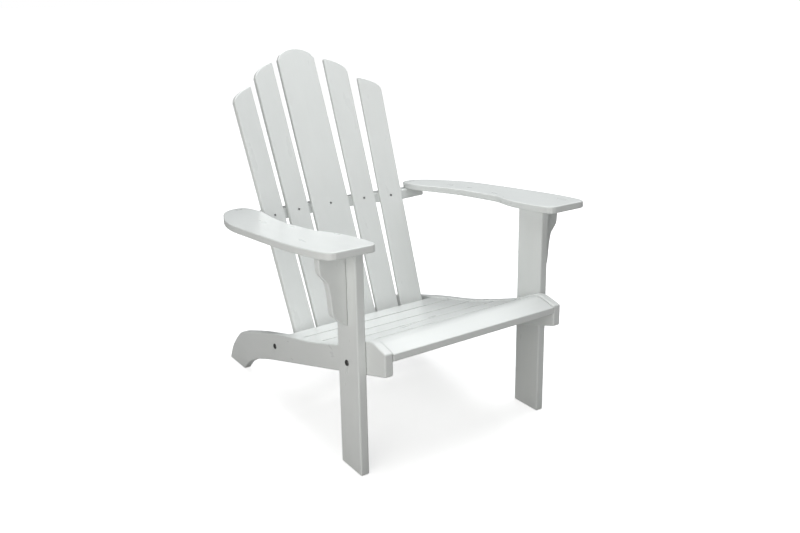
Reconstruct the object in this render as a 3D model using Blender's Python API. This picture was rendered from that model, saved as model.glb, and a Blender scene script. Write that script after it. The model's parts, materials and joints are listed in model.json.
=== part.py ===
"""Adirondack chair, modelled board by board with its bolts, screws and dowels.

Metres, +Z up. The chair faces -Y and the sitter's left is +X. The origin lies on the floor
under the middle of the chair. Every board is a solid of its own, and every fastener sits in a
bore that is cut for it, with a clearance of GAP all round.
"""
import math

import bmesh
import bpy
from mathutils import Matrix, Vector

# ---- driving dimensions -------------------------------------------------------------------
GAP = 0.0003            # clearance between pieces that touch
EDGE = 0.0025           # bevel on the edges of the boards
SIDES = (("right", -1), ("left", 1))

HALF_WIDTH = 0.282      # middle of the chair to the outer face of a front leg
LEG_THICK = 0.0225
LEG_DEPTH = 0.090
LEG_FRONT = -0.369
LEG_MIDDLE = LEG_FRONT + LEG_DEPTH / 2

RAIL_THICK = 0.022
RAIL_OUTER = HALF_WIDTH - LEG_THICK - GAP
RAIL_INNER = RAIL_OUTER - RAIL_THICK
# side rail in (y, z): top edge from the heel over the seat line and the crown to the nose
RAIL_TOP = ((0.4385, 0.0), (0.4251, 0.0270), (0.4117, 0.0491), (0.3899, 0.0740),
            (0.3651, 0.0973), (0.3390, 0.1151), (0.2923, 0.1319), (0.2036, 0.1601),
            (0.1243, 0.1824), (0.0392, 0.2050), (-0.0811, 0.2330), (-0.1692, 0.2585),
            (-0.2545, 0.2860), (-0.3080, 0.3070), (-0.3480, 0.3265), (-0.3730, 0.3362),
            (-0.3930, 0.3390), (-0.4130, 0.3358), (-0.4460, 0.3280))
RAIL_UNDERSIDE = ((-0.4460, 0.2733), (-0.2363, 0.2111), (0.0251, 0.1338), (0.1493, 0.0969),
                  (0.2175, 0.0740), (0.2552, 0.0576), (0.2991, 0.0336), (0.3275, 0.0100),
                  (0.3360, 0.0))

ARM_THICK = 0.018
ARM_TOP_AT_LEG = 0.5632
ARM_FALL = math.atan(0.094)          # the armrests fall towards the rear
# left armrest in (x, y), from the front outer corner along the outer edge to the rear end
ARM_OUTER = ((0.350, -0.4120), (0.3635, -0.4045), (0.3715, -0.3860), (0.3785, -0.3480),
             (0.3860, -0.2680), (0.3878, -0.1600), (0.3865, -0.0500), (0.3845, 0.0400),
             (0.3770, 0.1000), (0.3630, 0.1520), (0.3460, 0.1960), (0.3350, 0.2220),
             (0.3220, 0.2430), (0.3060, 0.2590), (0.2890, 0.2675), (0.2730, 0.2665),
             (0.2600, 0.2570), (0.2530, 0.2400))
# and back along the inner edge to the front
ARM_INNER = ((0.2500, 0.2120), (0.2505, 0.1600), (0.2590, 0.1170), (0.2680, 0.0620),
             (0.2745, 0.0050), (0.2765, -0.0500), (0.2735, -0.1580), (0.2690, -0.1880),
             (0.2595, -0.2180), (0.2490, -0.2720), (0.2450, -0.3380), (0.2476, -0.3860),
             (0.2500, -0.3990), (0.2550, -0.4085), (0.2640, -0.4120))

# left arm bracket in (x, z) from the armrest down its outer edge to the leg
BRACKET_EDGE = ((0.3490, 0.5100), (0.3475, 0.4990), (0.3440, 0.4917), (0.3365, 0.4825),
                (0.3300, 0.4730), (0.3265, 0.4584), (0.3240, 0.4437), (0.3205, 0.4040),
                (0.3165, 0.3900), (0.3080, 0.3820), (0.3000, 0.3740), (0.2853, 0.3650))
BRACKET_TOP = 0.350
BRACKET_THICK = 0.022
BRACKET_FRONT = -0.3305

SEAT_THICK = 0.017
FRONT_SLAT_THICK = 0.0195
NARROW_SLATS = 4                     # seat slats behind the shaped front one
SEAT_BELOW_RAIL = 0.003
FRONT_SLAT_BELOW_RAIL = 0.004
SEAT_PITCH = 0.0972
SEAT_SLOT = 0.0094                   # width of the gaps between the seat slats
FIRST_SLOT = -0.0113                 # y of the middle of the rearmost gap
SEAT_REAR = 0.0745
SEAT_END_GAP = 0.0008
CLEAT_THICK = 0.020
CLEAT_HEIGHT = 0.028
CLEAT_REAR = 0.066
CLEAT_FRONT = -0.395

SLAT_THICK = 0.014
SLAT_HEIGHTS = (0.4853, 0.3102)      # heights at which the fan of slats is laid out
SLAT_FOOT = 0.128                    # height of the lower ends of the slats
# middle of each slat's face as (x, y) at those two heights, and its turn towards the sitter
CENTRE_SLAT = ((0.0, 0.2422), (0.0, 0.1643), 0.0)
INNER_SLAT = ((0.1067, 0.2333), (0.1025, 0.1583), math.radians(8.6))
OUTER_SLAT = ((0.1889, 0.2154), (0.1808, 0.1432), math.radians(14.8))
CENTRE_SLAT_WIDTH = 0.1184
SIDE_SLAT_WIDTH = 0.0685
# heads of the slats as (across towards the middle of the chair, up from the upper screw)
CENTRE_HEAD = ((-0.0592, 0.4345), (-0.0490, 0.4500), (-0.0340, 0.4590), (-0.0180, 0.4646),
               (0.0, 0.4665), (0.0180, 0.4646), (0.0340, 0.4590), (0.0490, 0.4500),
               (0.0592, 0.4345))
INNER_HEAD = ((-0.03425, 0.3850), (-0.0295, 0.3955), (-0.0185, 0.4070), (0.0, 0.4185),
              (0.0180, 0.4260), (0.0290, 0.4300), (0.03425, 0.4275))
OUTER_HEAD = ((-0.03425, 0.3235), (-0.0295, 0.3340), (-0.0185, 0.3445), (0.0, 0.3550),
              (0.0180, 0.3620), (0.0290, 0.3665), (0.03425, 0.3645))

UPPER_RAIL_THICK = 0.028
FLAT_MARGIN = 0.001                  # how far a flat behind a slat runs past its edges
# rest of the left half of the upper rail in (x, y): its rounded end, then its rear edge
UPPER_RAIL_END = ((0.3060, 0.2285), (0.3145, 0.2322), (0.3180, 0.2405), (0.3145, 0.2520),
                  (0.3020, 0.2600), (0.2830, 0.2645), (0.1900, 0.2800), (0.0950, 0.2920))
UPPER_RAIL_REAR = 0.296              # y of the rear edge at the middle of the chair
LOWER_RAIL_THICK = 0.022
LOWER_RAIL_MIDDLE = 0.1507
LOWER_RAIL_FRONT = 0.086             # at its ends; the slats set the rest of its front edge
LOWER_RAIL_REAR = 0.142

LEG_BOLT = (-0.3202, 0.2701)         # y, z
REAR_BOLT = (0.1122, 0.1507)
ARM_SCREWS = ((0.2765, 0.243), (0.2880, 0.243))   # x, y of the screws at the rear of an armrest
LOWER_SCREW_HEIGHT = 0.162
FRONT_SLAT_SCREW = -0.340
BRACKET_DOWEL_HEIGHT = 0.470

# turned fasteners as (depth along the axis, radius)
BOLT = ((-0.0006, 0.0), (-0.0006, 0.0030), (-0.0026, 0.0032), (-0.0026, 0.0058),
        (-0.0014, 0.0073), (0.0, 0.0073), (0.0, 0.0030), (0.0380, 0.0030), (0.0380, 0.0))
BOLT_BORE = ((-0.0040, 0.0), (-0.0040, 0.0030), (0.0400, 0.0030), (0.0400, 0.0))
INSERT_LENGTH = 0.016
INSERT = ((0.0, 0.0036), (0.0, 0.0050), (INSERT_LENGTH, 0.0050), (INSERT_LENGTH, 0.0036))
INSERT_BORE = ((-0.0020, 0.0), (-0.0020, 0.0050), (0.0205, 0.0050), (0.0205, 0.0))
SCREW = ((0.0006, 0.0), (0.0006, 0.0032), (0.0032, 0.0017), (0.0340, 0.0015), (0.0370, 0.0))
SCREW_BORE = ((-0.0060, 0.0), (-0.0060, 0.0032), (0.0006, 0.0032), (0.0032, 0.0017),
              (0.0340, 0.0015), (0.0376, 0.0))
DOWEL_HALF = 0.012
DOWEL = ((-DOWEL_HALF, 0.0), (-DOWEL_HALF, 0.0030), (-0.0110, 0.0040), (0.0110, 0.0040),
         (DOWEL_HALF, 0.0030), (DOWEL_HALF, 0.0))
DOWEL_BORE = ((-0.0125, 0.0), (-0.0125, 0.0040), (0.0125, 0.0040), (0.0125, 0.0))
ROUND = 16              # sides of a bolt or an insert
SMALL_ROUND = 8         # sides of a screw or a dowel
CURVE_STEPS = 2         # steps of a curve between two of its points
BEVEL_FROM = math.radians(40)        # corners sharper than this are bevelled
SHARP_FROM = math.radians(35)        # corners sharper than this are shaded sharp

# colour, roughness, metallic
PAINT = ((0.80, 0.815, 0.80, 1.0), 0.35, 0.0)
BLACK_METAL = ((0.030, 0.030, 0.032, 1.0), 0.40, 1.0)
ZINC = ((0.30, 0.30, 0.30, 1.0), 0.40, 1.0)
BIRCH = ((0.62, 0.48, 0.31, 1.0), 0.70, 0.0)

BORES = {}              # name of a board -> the bores that are cut in it


# ---- scene and materials ------------------------------------------------------------------
def clear_scene():
    for item in list(bpy.data.objects):
        bpy.data.objects.remove(item, do_unlink=True)


def finish_material(name, finish):
    colour, roughness, metallic = finish
    material = bpy.data.materials.new(name + "_finish")
    material.use_nodes = True
    shader = material.node_tree.nodes["Principled BSDF"]
    shader.inputs["Base Color"].default_value = colour
    shader.inputs["Roughness"].default_value = roughness
    shader.inputs["Metallic"].default_value = metallic
    material.diffuse_color = colour
    return material


# ---- curves -------------------------------------------------------------------------------
def smooth_curve(points):
    """Catmull-Rom curve through the points."""
    guide = [Vector(p) for p in points]
    guide = [2 * guide[0] - guide[1]] + guide + [2 * guide[-1] - guide[-2]]
    curve = []
    for i in range(1, len(guide) - 2):
        a, b, c, d = guide[i - 1:i + 3]
        for k in range(CURVE_STEPS):
            t = k / CURVE_STEPS
            curve.append(0.5 * (2 * b + (c - a) * t + (2 * a - 5 * b + 4 * c - d) * t * t
                                + (3 * b - a - 3 * c + d) * t ** 3))
    curve.append(guide[-2])
    return curve


def height_on(curve, y):
    """Height of a curve of (y, z) points at y."""
    for a, b in zip(curve, curve[1:]):
        if min(a.x, b.x) <= y <= max(a.x, b.x):
            return a.y + (b.y - a.y) * (y - a.x) / (b.x - a.x)
    raise ValueError("y lies off the curve")


def below(curve, distance):
    """The same curve moved down by a distance measured square to it."""
    moved = []
    for i, point in enumerate(curve):
        run = curve[min(i + 1, len(curve) - 1)] - curve[max(i - 1, 0)]
        normal = Vector((-run.y, run.x)).normalized()
        if normal.y > 0:
            normal.negate()
        moved.append(point + normal * distance)
    return moved


# ---- solids -------------------------------------------------------------------------------
def add_mesh(name, vertices, faces, material):
    mesh = bpy.data.meshes.new(name)
    mesh.from_pydata([tuple(v) for v in vertices], [], faces)
    mesh.update()
    bm = bmesh.new()
    bm.from_mesh(mesh)
    bmesh.ops.recalc_face_normals(bm, faces=bm.faces)
    bm.to_mesh(mesh)
    bm.free()
    if material:
        mesh.materials.append(material)
    item = bpy.data.objects.new(name, mesh)
    bpy.context.scene.collection.objects.link(item)
    return item


def shade_round(item):
    item.data.shade_smooth()
    item.data.set_sharp_from_angle(angle=SHARP_FROM)


def board(name, ring_a, ring_b):
    """Painted board between two faces given as rings of the same number of points."""
    count = len(ring_a)
    faces = [list(range(count)), list(range(count, 2 * count))]
    for i in range(count):
        j = (i + 1) % count
        faces.append([i, j, count + j, count + i])
    item = add_mesh(name, list(ring_a) + list(ring_b), faces, finish_material(name, PAINT))
    bevel = item.modifiers.new("softened edges", "BEVEL")
    bevel.width = EDGE
    bevel.segments = 1
    bevel.limit_method = "ANGLE"
    bevel.angle_limit = BEVEL_FROM
    bevel.use_clamp_overlap = False
    shade_round(item)
    return item


def turned(profile, frame, sides, spread=0.0, hollow=False):
    """Vertices and faces of a turned solid. A hollow one is a ring that closes on itself."""
    vertices = []
    rings = []
    for depth, radius in profile:
        first = len(vertices)
        if radius == 0.0:
            vertices.append(frame @ Vector((0, 0, depth)))
            rings.append([first] * sides)
            continue
        for k in range(sides):
            angle = math.tau * (k + 0.5) / sides
            reach = radius + spread
            vertices.append(frame @ Vector((reach * math.cos(angle), reach * math.sin(angle),
                                            depth)))
        rings.append(list(range(first, first + sides)))
    if hollow:
        rings.append(rings[0])
    faces = []
    for a, b in zip(rings, rings[1:]):
        for k in range(sides):
            n = (k + 1) % sides
            corners = [a[k], b[k], b[n], a[n]]
            faces.append(list(dict.fromkeys(corners)))
    return vertices, faces


def fastener(name, profile, frame, metal, sides, hollow=False):
    vertices, faces = turned(profile, frame, sides, hollow=hollow)
    item = add_mesh(name, vertices, faces, finish_material(name, metal))
    shade_round(item)


def bore(board_name, profile, frame, sides):
    BORES.setdefault(board_name, []).append(turned(profile, frame, sides, spread=GAP))


def cut_bores():
    """Cut every board's bores in one step per board."""
    for name, bores in BORES.items():
        vertices = []
        faces = []
        for more_vertices, more_faces in bores:
            faces += [[i + len(vertices) for i in face] for face in more_faces]
            vertices += more_vertices
        cutter = add_mesh(name + "_bores", vertices, faces, None)
        cutter.hide_render = True
        cutter.display_type = "WIRE"
        cut = bpy.data.objects[name].modifiers.new("bores", "BOOLEAN")
        cut.operation = "DIFFERENCE"
        cut.solver = "EXACT"
        cut.object = cutter


def aim(place, direction):
    """Frame at a place whose +Z runs along a direction."""
    turn = Vector(direction).to_track_quat("Z", "Y").to_matrix().to_4x4()
    return Matrix.Translation(place) @ turn


def where_planes_meet(*planes):
    """The point shared by three planes, each given as a normal and a point on it."""
    normals = Matrix([normal for normal, point in planes])
    offsets = Vector([normal.dot(point) for normal, point in planes])
    return normals.inverted() @ offsets


# ---- shared lines of the chair ------------------------------------------------------------
ARM_NORMAL = Vector((0.0, math.sin(ARM_FALL), math.cos(ARM_FALL)))
RAIL_CURVE = smooth_curve(RAIL_TOP)


def arm_top(y):
    return ARM_TOP_AT_LEG - math.tan(ARM_FALL) * (y - LEG_MIDDLE)


def arm_underside(y):
    return arm_top(y) - ARM_THICK / math.cos(ARM_FALL)


def seat_chord(index):
    """Top corners, rear and front, of one of the four narrow seat slats."""
    rear = FIRST_SLOT - (index - 1) * SEAT_PITCH - SEAT_SLOT / 2
    front = FIRST_SLOT - index * SEAT_PITCH + SEAT_SLOT / 2
    if index == 0:
        rear = SEAT_REAR
    return [Vector((y, height_on(RAIL_CURVE, y) - SEAT_BELOW_RAIL)) for y in (rear, front)]


def front_slat_top():
    """Top of the shaped front seat slat, from its rear edge over the crown to the nose."""
    rear = FIRST_SLOT - (NARROW_SLATS - 1) * SEAT_PITCH - SEAT_SLOT / 2
    line = [Vector((rear, height_on(RAIL_CURVE, rear)))]
    line += [p for p in RAIL_CURVE if p.x < rear - EDGE]
    return [p - Vector((0.0, FRONT_SLAT_BELOW_RAIL)) for p in line]


def slat_frame(layout, side):
    """Frame on a slat's face at the upper screw: X across, Y up the slat, Z to the front."""
    upper, lower, turn = layout
    top = Vector((side * upper[0], upper[1], SLAT_HEIGHTS[0]))
    foot = Vector((side * lower[0], lower[1], SLAT_HEIGHTS[1]))
    along = (top - foot).normalized()
    across = Vector((math.cos(turn), -side * math.sin(turn), 0.0))
    across = (across - along * across.dot(along)).normalized()
    frame = Matrix((across, along, across.cross(along))).transposed().to_4x4()
    return Matrix.Translation(top) @ frame


SLATS = (("back_slat_outer_right", OUTER_SLAT, -1, SIDE_SLAT_WIDTH, OUTER_HEAD),
         ("back_slat_inner_right", INNER_SLAT, -1, SIDE_SLAT_WIDTH, INNER_HEAD),
         ("back_slat_centre", CENTRE_SLAT, 1, CENTRE_SLAT_WIDTH, CENTRE_HEAD),
         ("back_slat_inner_left", INNER_SLAT, 1, SIDE_SLAT_WIDTH, INNER_HEAD),
         ("back_slat_outer_left", OUTER_SLAT, 1, SIDE_SLAT_WIDTH, OUTER_HEAD))


# ---- boards -------------------------------------------------------------------------------
def make_side_rails():
    outline = RAIL_CURVE + smooth_curve(RAIL_UNDERSIDE)
    for name, side in SIDES:
        board(name + "_side_rail",
              [(side * RAIL_INNER, p.x, p.y) for p in outline],
              [(side * RAIL_OUTER, p.x, p.y) for p in outline])


def make_front_legs():
    rear = LEG_FRONT + LEG_DEPTH
    outline = [(LEG_FRONT, 0.0), (rear, 0.0), (rear, arm_underside(rear) - GAP),
               (LEG_FRONT, arm_underside(LEG_FRONT) - GAP)]
    for name, side in SIDES:
        board(name + "_front_leg",
              [(side * (HALF_WIDTH - LEG_THICK), y, z) for y, z in outline],
              [(side * HALF_WIDTH, y, z) for y, z in outline])


def make_armrests():
    outline = smooth_curve(ARM_OUTER) + smooth_curve(ARM_INNER)
    for name, side in SIDES:
        top = [Vector((side * p.x, p.y, arm_top(p.y))) for p in outline]
        board(name + "_armrest", top, [p - ARM_NORMAL * ARM_THICK for p in top])


def make_arm_brackets():
    inner = HALF_WIDTH + GAP
    edge = smooth_curve(BRACKET_EDGE)
    for name, side in SIDES:
        rings = []
        for y in (BRACKET_FRONT, BRACKET_FRONT + BRACKET_THICK):
            top = arm_underside(y) - GAP
            outline = [(inner, top), (BRACKET_TOP, top)] + edge
            outline.append((inner, edge[-1].y - EDGE))
            rings.append([(side * x, y, z) for x, z in outline])
        board(name + "_arm_bracket", *rings)


def make_back_slats():
    for name, layout, side, _, head in SLATS:
        frame = slat_frame(layout, side)
        foot = (SLAT_FOOT - SLAT_HEIGHTS[0]) / frame.col[1].z
        outline = [(side * -across, up) for across, up in smooth_curve(head)]
        outline += [(outline[-1][0], foot), (outline[0][0], foot)]
        board(name, [frame @ Vector((x, y, 0.0)) for x, y in outline],
              [frame @ Vector((x, y, -SLAT_THICK)) for x, y in outline])


def make_seat_slats():
    end = RAIL_INNER - SEAT_END_GAP
    for index in range(NARROW_SLATS):
        top = seat_chord(index)
        outline = top + below(top, SEAT_THICK)[::-1]
        board("seat_slat_%d" % (index + 1), [(-end, p.x, p.y) for p in outline],
              [(end, p.x, p.y) for p in outline])
    top = front_slat_top()
    under = below(top, FRONT_SLAT_THICK)
    under[-1] = Vector((top[-1].x, under[-1].y))
    outline = top + under[::-1]
    board("front_seat_slat", [(-end, p.x, p.y) for p in outline],
          [(end, p.x, p.y) for p in outline])


def cleat_line():
    """Line in (y, z) that carries the undersides of the seat slats, from rear to front."""
    line = []
    for index in range(NARROW_SLATS):
        line += below(seat_chord(index), SEAT_THICK + GAP)
    line += below(front_slat_top(), FRONT_SLAT_THICK + GAP)
    start = Vector((CLEAT_REAR, height_on(line, CLEAT_REAR)))
    end = Vector((CLEAT_FRONT, height_on(line, CLEAT_FRONT)))
    return [start] + [p for p in line if CLEAT_FRONT + EDGE < p.x < CLEAT_REAR - EDGE] + [end]


def make_seat_cleats():
    top = cleat_line()
    outline = top + [p - Vector((0.0, CLEAT_HEIGHT)) for p in reversed(top)]
    outer = RAIL_INNER - GAP
    for name, side in SIDES:
        board(name + "_seat_cleat",
              [(side * (outer - CLEAT_THICK), p.x, p.y) for p in outline],
              [(side * outer, p.x, p.y) for p in outline])


def flats_behind_slats(normal, point):
    """Corners of a cross rail's front edge in one plane: a flat behind each back slat."""
    corners = []
    for _, layout, side, width, _ in SLATS:
        frame = slat_frame(layout, side)
        across = frame.col[0].to_3d()
        front = frame.col[2].to_3d()
        back = (front, frame.translation - front * (SLAT_THICK + GAP))
        for end in (-1, 1):
            limit = (across, frame.translation + across * end * (width / 2 + FLAT_MARGIN))
            corners.append(where_planes_meet((normal, point), back, limit))
    return corners


def make_upper_rail():
    rings = []
    surface = Vector((0.0, 0.0, arm_underside(0.0) - GAP))
    for depth in (0.0, UPPER_RAIL_THICK):
        point = surface - ARM_NORMAL * depth
        half = smooth_curve(UPPER_RAIL_END)
        edge = half + [Vector((0.0, UPPER_RAIL_REAR))] + [Vector((-p.x, p.y)) for p in half[::-1]]
        ring = [Vector((p.x, p.y, point.z - math.tan(ARM_FALL) * (p.y - point.y)))
                for p in edge]
        rings.append(flats_behind_slats(ARM_NORMAL, point) + ring)
    board("upper_back_rail", *rings)


def make_lower_rail():
    end = RAIL_INNER - GAP
    rings = []
    for step in (0.5, -0.5):
        height = LOWER_RAIL_MIDDLE + step * LOWER_RAIL_THICK
        ends = [Vector((end, y, height)) for y in (LOWER_RAIL_FRONT, LOWER_RAIL_REAR)]
        mirrored = [Vector((-p.x, p.y, p.z)) for p in reversed(ends)]
        flats = flats_behind_slats(Vector((0.0, 0.0, 1.0)), Vector((0.0, 0.0, height)))
        rings.append(flats + ends + mirrored)
    board("lower_back_rail", *rings)


# ---- fasteners ----------------------------------------------------------------------------
def make_bolts():
    """A bolt and a threaded insert at each front leg and at each end of the lower rail."""
    for name, side in SIDES:
        inward = (-side, 0.0, 0.0)
        joints = (("front_leg_", name + "_front_leg", name + "_side_rail", LEG_BOLT,
                   HALF_WIDTH, LEG_THICK),
                  ("rear_rail_", name + "_side_rail", "lower_back_rail", REAR_BOLT,
                   RAIL_OUTER, RAIL_THICK))
        for prefix, outer, inner, (y, z), face, thick in joints:
            bolt = aim((side * (face + GAP), y, z), inward)
            insert = aim((side * (face - thick - 2 * GAP), y, z), inward)
            fastener(prefix + "bolt_" + name, BOLT, bolt, BLACK_METAL, ROUND)
            fastener(prefix + "insert_" + name, INSERT, insert, ZINC, ROUND, hollow=True)
            bore(outer, BOLT_BORE, bolt, ROUND)
            bore(inner, INSERT_BORE, insert, ROUND)


def drive_screw(name, place, direction, metal, boards):
    """A countersunk screw and its bore in each board that it passes through."""
    screw = aim(place, direction)
    fastener(name, SCREW, screw, metal, SMALL_ROUND)
    for board_name in boards:
        bore(board_name, SCREW_BORE, screw, SMALL_ROUND)


def make_back_screws():
    for name, layout, side, _, _ in SLATS:
        frame = slat_frame(layout, side)
        into = -frame.col[2].to_3d()
        down = (LOWER_SCREW_HEIGHT - SLAT_HEIGHTS[0]) / frame.col[1].z
        drive_screw(name + "_upper_screw", frame.translation, into, ZINC,
                    (name, "upper_back_rail"))
        drive_screw(name + "_lower_screw", frame @ Vector((0.0, down, 0.0)), into, ZINC,
                    (name, "lower_back_rail"))


def make_armrest_screws():
    for name, side in SIDES:
        for place, (x, y) in zip(("inner", "outer"), ARM_SCREWS):
            drive_screw(name + "_armrest_" + place + "_screw", (side * x, y, arm_top(y)),
                        -ARM_NORMAL, BLACK_METAL, (name + "_armrest", "upper_back_rail"))


def make_seat_screws():
    """One screw at each end of every seat slat, driven up through the cleat."""
    line = cleat_line()
    places = [("seat_slat_%d" % (i + 1), sum(p.x for p in seat_chord(i)) / 2)
              for i in range(NARROW_SLATS)]
    places.append(("front_seat_slat", FRONT_SLAT_SCREW))
    for name, side in SIDES:
        middle = side * (RAIL_INNER - GAP - CLEAT_THICK / 2)
        for slat, y in places:
            foot = (middle, y, height_on(line, y) - CLEAT_HEIGHT)
            drive_screw(slat + "_screw_" + name, foot, (0.0, 0.0, 1.0), ZINC,
                        (name + "_seat_cleat", slat))


def make_dowels():
    """A blind dowel from each leg up into its armrest and one sideways into its bracket."""
    for name, side in SIDES:
        up = aim((side * (HALF_WIDTH - LEG_THICK / 2), LEG_MIDDLE, arm_underside(LEG_MIDDLE)),
                 ARM_NORMAL)
        out = aim((side * HALF_WIDTH, BRACKET_FRONT + BRACKET_THICK / 2, BRACKET_DOWEL_HEIGHT),
                  (side, 0.0, 0.0))
        for dowel, other in ((up, "_armrest"), (out, "_arm_bracket")):
            fastener(name + other + "_dowel", DOWEL, dowel, BIRCH, SMALL_ROUND)
            bore(name + other, DOWEL_BORE, dowel, SMALL_ROUND)
            bore(name + "_front_leg", DOWEL_BORE, dowel, SMALL_ROUND)


def main():
    clear_scene()
    make_side_rails()
    make_front_legs()
    make_armrests()
    make_arm_brackets()
    make_back_slats()
    make_seat_slats()
    make_seat_cleats()
    make_upper_rail()
    make_lower_rail()
    make_bolts()
    make_back_screws()
    make_armrest_screws()
    make_seat_screws()
    make_dowels()
    cut_bores()


main()
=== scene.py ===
"""Looks of an adirondack chair: painted boards with softened edges, and its metal fasteners.

Metres, +Z up. The chair faces -Y and the sitter's left is +X. Every board is cut again from its
own outline with properly rounded edges and stands for its plain solid in the frame.
"""

import json
import logging
import math
from dataclasses import dataclass, field
from enum import Enum
from typing import Iterable, Sequence

import bmesh
import bpy
from mathutils import Matrix, Vector

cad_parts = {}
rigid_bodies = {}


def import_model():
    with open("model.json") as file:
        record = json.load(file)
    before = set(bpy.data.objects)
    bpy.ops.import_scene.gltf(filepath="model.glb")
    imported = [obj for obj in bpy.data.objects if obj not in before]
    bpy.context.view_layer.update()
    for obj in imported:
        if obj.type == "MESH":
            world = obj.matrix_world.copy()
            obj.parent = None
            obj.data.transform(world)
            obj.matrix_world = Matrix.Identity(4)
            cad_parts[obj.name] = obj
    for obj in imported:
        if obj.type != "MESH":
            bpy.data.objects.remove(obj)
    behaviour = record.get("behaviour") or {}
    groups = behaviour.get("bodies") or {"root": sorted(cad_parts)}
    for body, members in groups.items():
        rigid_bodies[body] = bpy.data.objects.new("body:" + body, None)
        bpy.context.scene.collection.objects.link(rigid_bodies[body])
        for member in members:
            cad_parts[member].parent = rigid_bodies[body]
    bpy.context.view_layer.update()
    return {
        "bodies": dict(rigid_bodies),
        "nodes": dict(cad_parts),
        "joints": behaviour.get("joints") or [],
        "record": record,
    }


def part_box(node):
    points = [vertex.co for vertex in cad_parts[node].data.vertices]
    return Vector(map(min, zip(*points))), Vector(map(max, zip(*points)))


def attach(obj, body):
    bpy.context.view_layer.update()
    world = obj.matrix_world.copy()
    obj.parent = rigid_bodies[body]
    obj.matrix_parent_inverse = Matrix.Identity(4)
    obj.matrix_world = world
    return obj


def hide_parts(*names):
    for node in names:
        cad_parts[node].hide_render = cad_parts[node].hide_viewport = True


LOG = logging.getLogger("adirondack_chair")
Pair = tuple[float, float]
Profile = tuple[Pair, ...]

BODY = "root"
GRAIN_PLACE = "_GRAIN_PLACE"
GAP = 0.0003
SHARP = math.radians(32)


class Side(Enum):
    """Side of the chair, from the sitter's seat."""

    RIGHT = -1
    LEFT = 1

    @property
    def word(self) -> str:
        """Name of the side as it stands in the names of pieces."""
        return self.name.lower()


class Drive(Enum):
    """Shape of the recess in a fastener's head."""

    HEX = "hex"
    CROSS = "cross"


class Slot(Enum):
    """Material slots of the record."""

    PAINT = "white_paint"
    BLACK = "black_steel"
    ZINC = "zinc_steel"
    BIRCH = "birch"


class Finish(Enum):
    """Finishes, each with the slot that it belongs to."""

    PAINT = Slot.PAINT, 1
    BLACK = Slot.BLACK, 1
    # A lighter copy of the black steel for the bolts: its mid-grey is painted sheen, standing in
    # for the light that the bolt heads catch.
    BURNISHED = Slot.BLACK, 2
    ZINC = Slot.ZINC, 1
    BIRCH = Slot.BIRCH, 1

    @property
    def slot(self) -> str:
        """Name of the slot in the record."""
        return self.value[0].value


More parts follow.
